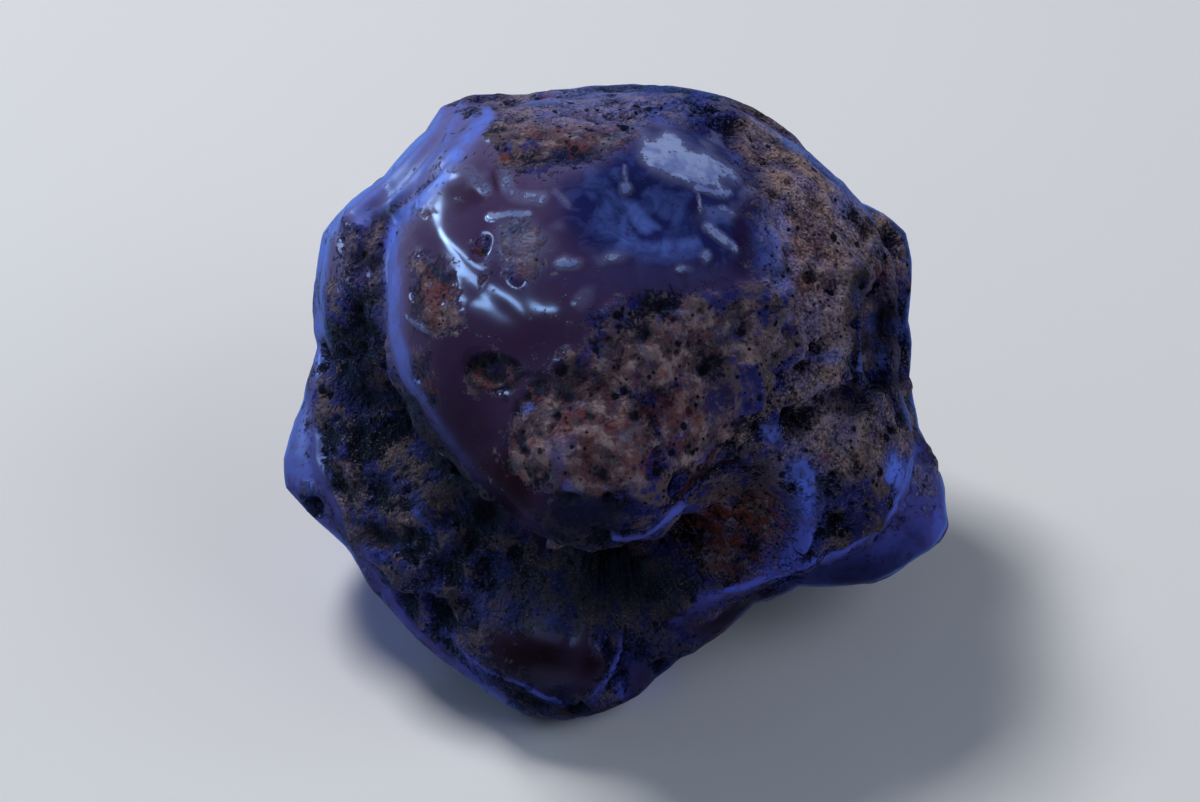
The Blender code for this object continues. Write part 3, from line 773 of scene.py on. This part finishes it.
def relief(points, normals, fields):
    """How far the fine forms stand out of the skin, in millimetres."""
    crust = rise(fields["crust"], 0.3, 0.7)
    gritty = 0.34 * noise(points, 2.1, 31.0) + 0.22 * noise(points, 1.0, 51.0)
    gritty += 0.5 * (0.4 - np.abs(noise(points, 3.4, 71.0)))
    gritty -= 0.8 * pits(points, 3.4, 1.0, 1) + 0.6 * pits(points, 2.1, 0.7, 2)
    gritty -= 0.3 * pits(points, 1.2, 0.45, 3)
    rugged = 0.9 * noise(points, 4.2, 9.0) + 0.5 * noise(points, 2.3, 19.0)
    rugged += 0.7 * (0.4 - np.abs(noise(points, 5.5, 27.0))) - 1.2 * pits(points, 5.0, 1.8, 4)
    knobs = 0.55 * noise(points, 1.7, 91.0) + 0.35 * (0.3 - np.abs(noise(points, 1.5, 95.0)))
    rugged += fields["fine"] * (knobs - 0.5 * pits(points, 1.7, 0.6, 5))
    gritty += rugged * (1 - 0.8 * rise(fields["sandy"], 0.2, 0.7))
    gritty *= 0.6 + 0.4 * fields["fine"]
    # How high the relief stands, from 0 to 1. The colours use it as painted shade in the pits and painted
    # light on the tops.
    fields["raised"] = rise(gritty, -1.1, 0.9)
    flowing = 0.06 * noise(points, 5.0, 13.0) + 0.02 * noise(points, 2.0, 33.0)
    out = points - SKIN_HEART
    steep = (normals * out).sum(axis=1) / norm(out, axis=1)
    calm = rise(steep, 0.1, 0.5) * (1 - 0.75 * fields["ring"])
    height = crust * gritty + (1 - crust) * flowing
    height += 0.15 * fields["pale"] + 0.3 * fields["folds"]
    return calm * height - WORN_DOWN


MAP_MARGIN = 0.01


def nodule_mesh():
    """The stone's fine skin, with its fields as attributes and a flat map of its six sides."""
    cube, quads, places = cube_skin(SKIN_SQUARES)
    points = relax(draw_in(skin_directions(cube)), quads, RELAX_ROUNDS)
    points = true_outline(iron(points, quads, IRON_ROUNDS))
    normals = skin_normals(points, quads)
    fields = paint_fields(points, normals)
    points = points + normals * relief(points, normals, fields)[:, None]
    mesh = bpy.data.meshes.new("nodule_skin")
    mesh.from_pydata((lay_down(points) * MM).tolist(), [], quads.tolist())
    mesh.shade_smooth()
    for name, values in fields.items():
        attribute = mesh.attributes.new(name, "FLOAT", "POINT")
        attribute.data.foreach_set("value", values.astype(np.float32))
    places = places.reshape(-1, 4)
    inset = MAP_MARGIN + (1 - 2 * MAP_MARGIN) * places[:, 2:] / SKIN_SQUARES
    flat = (places[:, :2] + inset) / (3, 2)
    layer = mesh.uv_layers.new(name="OFBake")
    layer.data.foreach_set("uv", flat.astype(np.float32).ravel())
    return mesh


# ---------------- the material

class Graph:
    """Short names for the nodes that the stone's material is made of."""

    def __init__(self, material):
        material.use_nodes = True
        self.tree = material.node_tree
        self.shader = self.tree.nodes["Principled BSDF"]
        where = self.node("TexCoord", {}).outputs["Object"]
        scaled = self.node("VectorMath", {0: where, "Scale": 1 / MM}, operation="SCALE")
        self.where = scaled.outputs["Vector"]

    def link(self, value, socket):
        if isinstance(value, bpy.types.NodeSocket):
            self.tree.links.new(value, socket)
        else:
            socket.default_value = value

    def node(self, kind, inputs, **settings):
        """A new node with its settings, and a value or a link for each named input."""
        node = self.tree.nodes.new("ShaderNode" + kind)
        for name, setting in settings.items():
            setattr(node, name, setting)
        for name, value in inputs.items():
            self.link(value, node.inputs[name])
        return node

    def math(self, operation, *values):
        return self.node("Math", dict(enumerate(values)), operation=operation).outputs["Value"]

    def times(self, first, second):
        return self.math("MULTIPLY", first, second)

    def plus(self, base, value, share):
        """The base with a share of a value added to it."""
        return self.math("MULTIPLY_ADD", value, share, base)

    def vary(self, base, value, amount):
        """The base raised and lowered by how far a value lies from one half."""
        return self.plus(base, self.math("SUBTRACT", value, 0.5), amount)

    def field(self, name):
        return self.node("Attribute", {}, attribute_name=name).outputs["Fac"]

    def spaced(self, size):
        return {"Vector": self.where, "Scale": 1 / size}

    def noise(self, size, detail, rough, twist=0.0):
        look = {"Detail": detail, "Roughness": rough, "Distortion": twist}
        return self.node("TexNoise", {**self.spaced(size), **look}).outputs["Fac"]

    def cells(self, size):
        """The distance to the nearest of many points strewn about `size` apart."""
        return self.node("TexVoronoi", self.spaced(size)).outputs["Distance"]

    def rise(self, value, low, high, bottom=0.0, top=1.0):
        """Goes smoothly from `bottom` to `top` as the value goes from `low` to `high`."""
        inputs = dict(enumerate((value, low, high, bottom, top)))
        return self.node("MapRange", inputs, interpolation_type="SMOOTHSTEP").outputs["Result"]

    def mix(self, share, first, second, blend="MIX"):
        inputs = {0: share, 6: first, 7: second}
        return self.node("Mix", inputs, data_type="RGBA", blend_type=blend).outputs[2]

    def bump(self, height, distance):
        return self.node("Bump", {"Height": height, "Distance": distance}).outputs["Normal"]


VIOLET = (0.150, 0.130, 0.290, 1)
PLUM = (0.055, 0.032, 0.098, 1)
LAVENDER_BLUE = (0.105, 0.210, 0.90, 1)
VIOLET_BLUE = (0.085, 0.130, 0.82, 1)
# The painted blue rim light on the silhouette's thin edge.
RIM_LIGHT_BLUE = (0.135, 0.31, 1.0, 1)
INDIGO = (0.011, 0.015, 0.095, 1)
SLATE_BLUE = (0.072, 0.122, 0.44, 1)
MAROON = (0.022, 0.002, 0.010, 1)
# The pale veil and flake colours also paint a highlight across the top of the cap.
VEIL_AND_HIGHLIGHT = (0.19, 0.205, 0.42, 1)
FLAKE_AND_HIGHLIGHT = (0.24, 0.31, 0.58, 1)
FLAKE_SHADE = (0.13, 0.17, 0.42, 1)
GRIT = ((0.001, 0.001, 0.006, 1), (0.012, 0.009, 0.032, 1), (0.155, 0.110, 0.130, 1))
SAND = ((0.009, 0.006, 0.014, 1), (0.135, 0.100, 0.138, 1), (0.42, 0.32, 0.36, 1))
TAN = (1.10, 1.0, 0.80, 1)
MAUVE = (0.75, 0.76, 1.10, 1)
CLAY = ((0.010, 0.006, 0.014, 1), (0.140, 0.092, 0.118, 1), (0.42, 0.31, 0.33, 1))
CLAY_RED = (0.210, 0.052, 0.054, 1)
GREY_BLUE = (0.075, 0.095, 0.200, 1)
DEEP_BLUE = (0.020, 0.026, 0.26, 1)
# Colours of the painted glints on the crust's grain tops.
PAINTED_GLINT = (0.40, 0.36, 0.44, 1)
PAINTED_BLUE_GLINT = (0.12, 0.16, 0.90, 1)
RUST = (0.22, 0.050, 0.028, 1)
BLACK = (0.002, 0.001, 0.004, 1)

BUMP_DEPTH = 2.4 * MM


class Agate(Graph):
    """The stone's material, with the grain and the marks that its colours share."""

    def __init__(self, material):
        super().__init__(material)
        self.medium = self.noise(2.4, 4, 0.6)
        self.sharp = self.noise(0.55, 4, 0.7)
        self.fleck = self.noise(0.26, 3, 0.7)
        self.lumps = self.noise(1.1, 2, 0.5, 0.6)
        self.bead = self.cells(0.36)
        grain_and_relief_shade = self.plus(self.times(self.sharp, 0.30), self.fleck, 0.40)
        grain_and_relief_shade = self.plus(grain_and_relief_shade, self.noise(1.5, 2, 0.5), 0.32)
        grain_and_relief_shade = self.plus(grain_and_relief_shade, self.bead, -0.20)
        # The relief is painted in as well: darker in its pits and lighter on its tops.
        self.grain_and_relief_shade = self.plus(grain_and_relief_shade, self.field("raised"), 0.25)
        self.crusted = self.rise(self.roughened("crust", 1.7, 2.2), 0.34, 0.66)
        self.pale = self.times(self.field("pale"), self.rise(self.medium, 0.3, 0.7, 0.45, 1.0))
        self.flaked_and_highlight = self.rise(self.roughened("pale", 1.3, 1.3), 0.50, 0.72)
        mottle = self.rise(self.noise(1.6, 5, 0.65), 0.34, 0.56, 0.45, 1.0)
        self.blue = self.times(self.field("blue"), mottle)
        self.bloom = self.mix(self.field("low"), LAVENDER_BLUE, VIOLET_BLUE)
        self.pores = self.math("MAXIMUM", self.pore_mask(0.95, 0.62), self.pore_mask(2.2, 0.60))

    def roughened(self, name, amount, fine_amount):
        """A field with its edge broken up by the stone's own medium and sharp noise."""
        return self.vary(self.vary(self.field(name), self.medium, amount), self.sharp, fine_amount)

    def pore_mask(self, size, edge):
        """Round pores strewn about `size` apart, painted black as the shade inside them."""
        return self.rise(self.plus(self.cells(size), self.medium, 0.8), 0.48, edge, 0.95, 0.0)

    def shades(self, value, colours, low, middle, high):
        """Dark, middle and light colours along a value."""
        lower = self.mix(self.rise(value, low, middle), colours[0], colours[1])
        return self.mix(self.rise(value, middle, high), lower, colours[2])


def glass_colour(g):
    """The glossy windows: plum to violet, the violet partly a painted sheen, with indigo depths, maroon,
    blue, pale flakes and a painted highlight.
    """
    # Plum to violet, the violet partly a painted sheen.
    glass = g.mix(g.rise(g.roughened("glow", 0.3, 0.0), 0.0, 1.0), PLUM, VIOLET)
    depth = g.rise(g.noise(3.0, 4, 0.6, 1.5), 0.36, 0.66, -0.15, 0.22)
    depth = g.math("ADD", depth, g.roughened("shards", 0.5, 0.2))
    glass = g.mix(g.field("indigo"), glass, g.mix(depth, INDIGO, SLATE_BLUE))
    glass = g.mix(g.times(g.field("maroon"), 0.95), glass, MAROON)
    glass = g.mix(g.blue, glass, g.bloom)
    flake_and_highlight = g.mix(g.rise(g.noise(3.0, 5, 0.6, 0.5), 0.42, 0.60), FLAKE_SHADE, FLAKE_AND_HIGHLIGHT)
    return g.mix(g.flaked_and_highlight, g.mix(g.pale, glass, VEIL_AND_HIGHLIGHT), flake_and_highlight)


def grit_colour(g, blue_patches):
    """The dark crust: blue-black, with lighter lumps and deep blue patches, and the relief painted in as
    shade in its pits and light on its tops.
    """
    value = g.vary(g.vary(g.grain_and_relief_shade, g.lumps, 0.4), g.field("raised"), 0.4)
    grit = g.shades(value, GRIT, 0.42, 0.54, 0.66)
    return g.mix(g.times(blue_patches, g.rise(g.grain_and_relief_shade, 0.42, 0.56)), grit, DEEP_BLUE)


def sand_colour(g):
    """The pale crust: tan in some places and mauve in others."""
    hue = g.noise(3.6, 4, 0.6)
    sand = g.shades(g.grain_and_relief_shade, SAND, 0.38, 0.50, 0.66)
    sand = g.mix(g.rise(hue, 0.50, 0.58), sand, TAN, "MULTIPLY")
    return g.mix(g.rise(hue, 0.40, 0.48, 1.0, 0.0), sand, MAUVE, "MULTIPLY")


def clay_colour(g):
    """The dome's crust: soft, with red and grey-blue patches."""
    # The relief is painted in here too: darker in its pits and lighter on its tops.
    value = g.plus(g.plus(g.noise(1.7, 4, 0.6), g.field("raised"), 0.30), g.grain_and_relief_shade, 0.40)
    clay = g.shades(value, CLAY, 0.72, 0.88, 1.04)
    clay = g.mix(g.rise(g.noise(2.2, 3, 0.5), 0.50, 0.64, 0.0, 0.7), clay, CLAY_RED)
    return g.mix(g.rise(g.noise(2.7, 3, 0.5, 0.6), 0.54, 0.68, 0.0, 0.6), clay, GREY_BLUE)


def crust_colour(g):
    fine = g.field("fine")
    blue_patches = g.rise(g.noise(2.6, 4, 0.65), 0.47, 0.58, 0.0, 0.9)
    sand = g.mix(fine, clay_colour(g), sand_colour(g))
    sandy = g.rise(g.roughened("sandy", 1.4, 0.8), 0.05, 0.65)
    crust = g.mix(sandy, grit_colour(g, blue_patches), sand)
    # Painted glints on the tops of the grains, pale, and blue within the blue patches.
    painted_glints = g.times(g.rise(g.fleck, 0.55, 0.66, 0.0, 0.85), g.rise(g.grain_and_relief_shade, 0.44, 0.56))
    painted_glints = g.times(painted_glints, g.rise(g.field("sandy"), 0.1, 0.5, 1.0, 0.35))
    crust = g.mix(g.times(painted_glints, fine), crust, g.mix(blue_patches, PAINTED_GLINT, PAINTED_BLUE_GLINT))
    # Pinholes: tiny pits with no relief of their own, painted black as their shade.
    pinholes = g.rise(g.plus(g.cells(0.55), g.sharp, 0.5), 0.36, 0.46, 0.9, 0.0)
    crust = g.mix(g.times(pinholes, fine), crust, BLACK)
    rusty = g.times(g.field("rusty"), g.rise(g.noise(1.6, 4, 0.6), 0.42, 0.60))
    crust = g.mix(rusty, crust, RUST)
    crust = g.mix(g.times(g.pale, 0.6), crust, FLAKE_AND_HIGHLIGHT)
    crust = g.mix(g.times(g.field("indigo"), 0.7), crust, INDIGO)
    crust = g.mix(g.times(g.blue, g.rise(g.grain_and_relief_shade, 0.42, 0.56)), crust, g.bloom)
    # The pores are painted black as the shade inside them.
    return g.mix(g.pores, crust, BLACK)


def stone_colour(g):
    colour = g.mix(g.crusted, glass_colour(g), crust_colour(g))
    # Painted shade darkens the colour towards black, less over the blue marks.
    blue_stays_lit = g.rise(g.field("blue"), 0.2, 0.8, 0.92, 0.35)
    colour = g.mix(g.times(g.field("shaded"), blue_stays_lit), colour, BLACK)
    # Painted blue rim light along the silhouette.
    painted_rim_light = g.times(g.field("edge"), g.rise(g.medium, 0.36, 0.56, 0.45, 0.95))
    return g.mix(painted_rim_light, colour, RIM_LIGHT_BLUE)


def stone_roughness(g):
    """Glossy in the windows, satin where the glass is blue or worn, and dull on the crust."""
    satin = g.math("MAXIMUM", g.crusted, g.rise(g.field("blue"), 0.1, 0.5, 0.0, 0.4))
    satin = g.math("MAXIMUM", satin, g.times(g.field("fine"), 0.35))
    return g.rise(satin, 0, 1, 0.14, 0.85)


def stone_bumps(g):
    """The finest grit, beads, knobs and pores of the crust, and the flakes' thin edges."""
    beads = g.times(g.math("SUBTRACT", 0.5, g.bead), g.rise(g.field("fine"), 0, 1, 0.05, 0.16))
    height = g.math("ADD", g.mix(0.5, g.noise(2.2, 2, 0.5), g.sharp), beads)
    height = g.plus(height, g.pores, -0.25)
    rugged = g.times(g.rise(g.field("sandy"), 0.1, 0.5, 1.0, 0.2), g.field("fine"))
    knobs = g.plus(g.times(g.lumps, 0.9), g.fleck, 0.25)
    height = g.plus(height, g.math("SUBTRACT", knobs, 0.57), rugged)
    height = g.times(g.math("SUBTRACT", height, 0.5), g.crusted)
    return g.bump(g.plus(height, g.flaked_and_highlight, 0.05), BUMP_DEPTH)


def agate_material():
    material = bpy.data.materials.new("agate")
    g = Agate(material)
    looks = {
        "Base Color": stone_colour(g), "Roughness": stone_roughness(g), "Normal": stone_bumps(g),
        "IOR": 1.5, "Specular IOR Level": 0.12, "Specular Tint": (0.75, 0.87, 1.0, 1),
        "Sheen Weight": 0.03, "Sheen Roughness": 0.4, "Sheen Tint": (0.25, 0.35, 1.0, 1),
    }
    for name, value in looks.items():
        g.link(value, g.shader.inputs[name])
    return material


# ---------------- floor, light and camera

# In metres: the floor's corners, and how far the lamps and bright windows are from the stone.
FLOOR_CORNERS = ((-1.5, -1.5, 0), (1.5, -1.5, 0), (1.5, 1.5, 0), (-1.5, 1.5, 0))
LAMP_DISTANCE = 0.8
WINDOW_DISTANCE = 0.5
WINDOW_BRIGHTNESS = 110.0
WINDOW_COLOUR = (0.40, 0.60, 1.0)
# The lamps face this point of the face frame.
LIT_POINT = (0, 0, 5)

# The picture's width at the face, and how far right of its middle the face is, as a share.
FRAME_WIDTH = 120.0
SENSOR_WIDTH = 36.0
FACE_RIGHT_OF_MIDDLE = 0.01


def add_object(name, data):
    thing = bpy.data.objects.new(name, data)
    bpy.context.scene.collection.objects.link(thing)
    return thing


def face_point(x, y, w):
    """A point of the face frame, in the row's frame and in metres."""
    return MM * Vector(lay_down(np.array([(x, y, w)]))[0])


def floor_material():
    material = bpy.data.materials.new("pale_floor")
    material.use_nodes = True
    shader = material.node_tree.nodes["Principled BSDF"]
    shader.inputs["Base Color"].default_value = (0.78, 0.785, 0.80, 1)
    shader.inputs["Roughness"].default_value = 0.9
    return material


def floor():
    mesh = bpy.data.meshes.new("floor")
    mesh.from_pydata(FLOOR_CORNERS, [], [(0, 1, 2, 3)])
    mesh.materials.append(floor_material())
    ground = add_object("floor", mesh)
    ground.visible_glossy = False


def towards(azimuth, height):
    """The way to a place in the studio, from an azimuth and a height in degrees."""
    turn, lift = radians(azimuth), radians(height)
    return Vector((sin(turn) * cos(lift), -cos(turn) * cos(lift), sin(lift)))


def area_lamp(name, size, power, colour):
    lamp = bpy.data.lights.new(name, "AREA")
    lamp.shape = "RECTANGLE"
    lamp.size, lamp.size_y = size
    lamp.energy = power
    lamp.color = colour
    return add_object(name, lamp)


def soft_light(name, azimuth, height, size, power, colour):
    """A broad flat lamp that faces the stone and isn't seen in its glassy parts."""
    away = towards(azimuth, height)
    holder = area_lamp(name, size, power, colour)
    holder.visible_glossy = False
    holder.location = face_point(*LIT_POINT) + LAMP_DISTANCE * away
    holder.rotation_euler = away.to_track_quat("Z", "Y").to_euler()


def window(name, start, end, width):
    """A narrow bright strip that is seen only as a reflection in the stone's glassy parts."""
    start, end = WINDOW_DISTANCE * towards(*start), WINDOW_DISTANCE * towards(*end)
    length = (end - start).length
    power = WINDOW_BRIGHTNESS * pi * length * width
    holder = area_lamp(name, (length, width), power, WINDOW_COLOUR)
    middle = (start + end) / 2
    along = (end - start).normalized()
    away = middle.normalized()
    across = away.cross(along)
    holder.matrix_world = Matrix((along, across, away)).transposed().to_4x4()
    holder.location = face_point(*LIT_POINT) + middle
    holder.visible_diffuse = False


def studio():
    soft_light("key", -135, 58, (0.24, 0.20), 4.6, (1.0, 0.99, 0.98))
    soft_light("side", 95, 12, (0.2, 0.3), 0.8, (0.62, 0.80, 1.0))
    soft_light("fill", 70, 42, (0.5, 0.5), 1.3, (0.86, 0.92, 1.0))
    window("window_back", (-137, 4), (-131, 6), 0.030)
    window("window_left", (-125, 16), (-73, 26), 0.026)
    window("window_left_upper", (-118, 20), (-85, 36), 0.020)
    window("window_near", (-66, 29), (-47, 33), 0.030)
    window("window_high", (-43, 38), (-22, 42), 0.030)
    world = bpy.data.worlds.new("studio")
    world.use_nodes = True
    background = world.node_tree.nodes["Background"]
    background.inputs["Color"].default_value = (0.80, 0.87, 1.0, 1)
    background.inputs["Strength"].default_value = 0.08
    bpy.context.scene.world = world
    bpy.context.scene.view_settings.view_transform = "Standard"


def camera():
    data = bpy.data.cameras.new("camera")
    data.sensor_width = SENSOR_WIDTH
    data.lens = SENSOR_WIDTH * SIGHT_DISTANCE / FRAME_WIDTH
    data.shift_x = -FACE_RIGHT_OF_MIDDLE
    data.clip_start = 0.01
    holder = add_object("camera", data)
    holder.location = face_point(0, 0, SIGHT_DISTANCE)
    holder.rotation_euler = (radians(90 - FACE_LIFT), 0, 0)
    bpy.context.scene.camera = holder


def build():
    stone = add_object("nodule_skin", nodule_mesh())
    stone.data.materials.append(agate_material())
    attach(stone, "root")
    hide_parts("nodule")
    floor()
    studio()
    camera()


build()
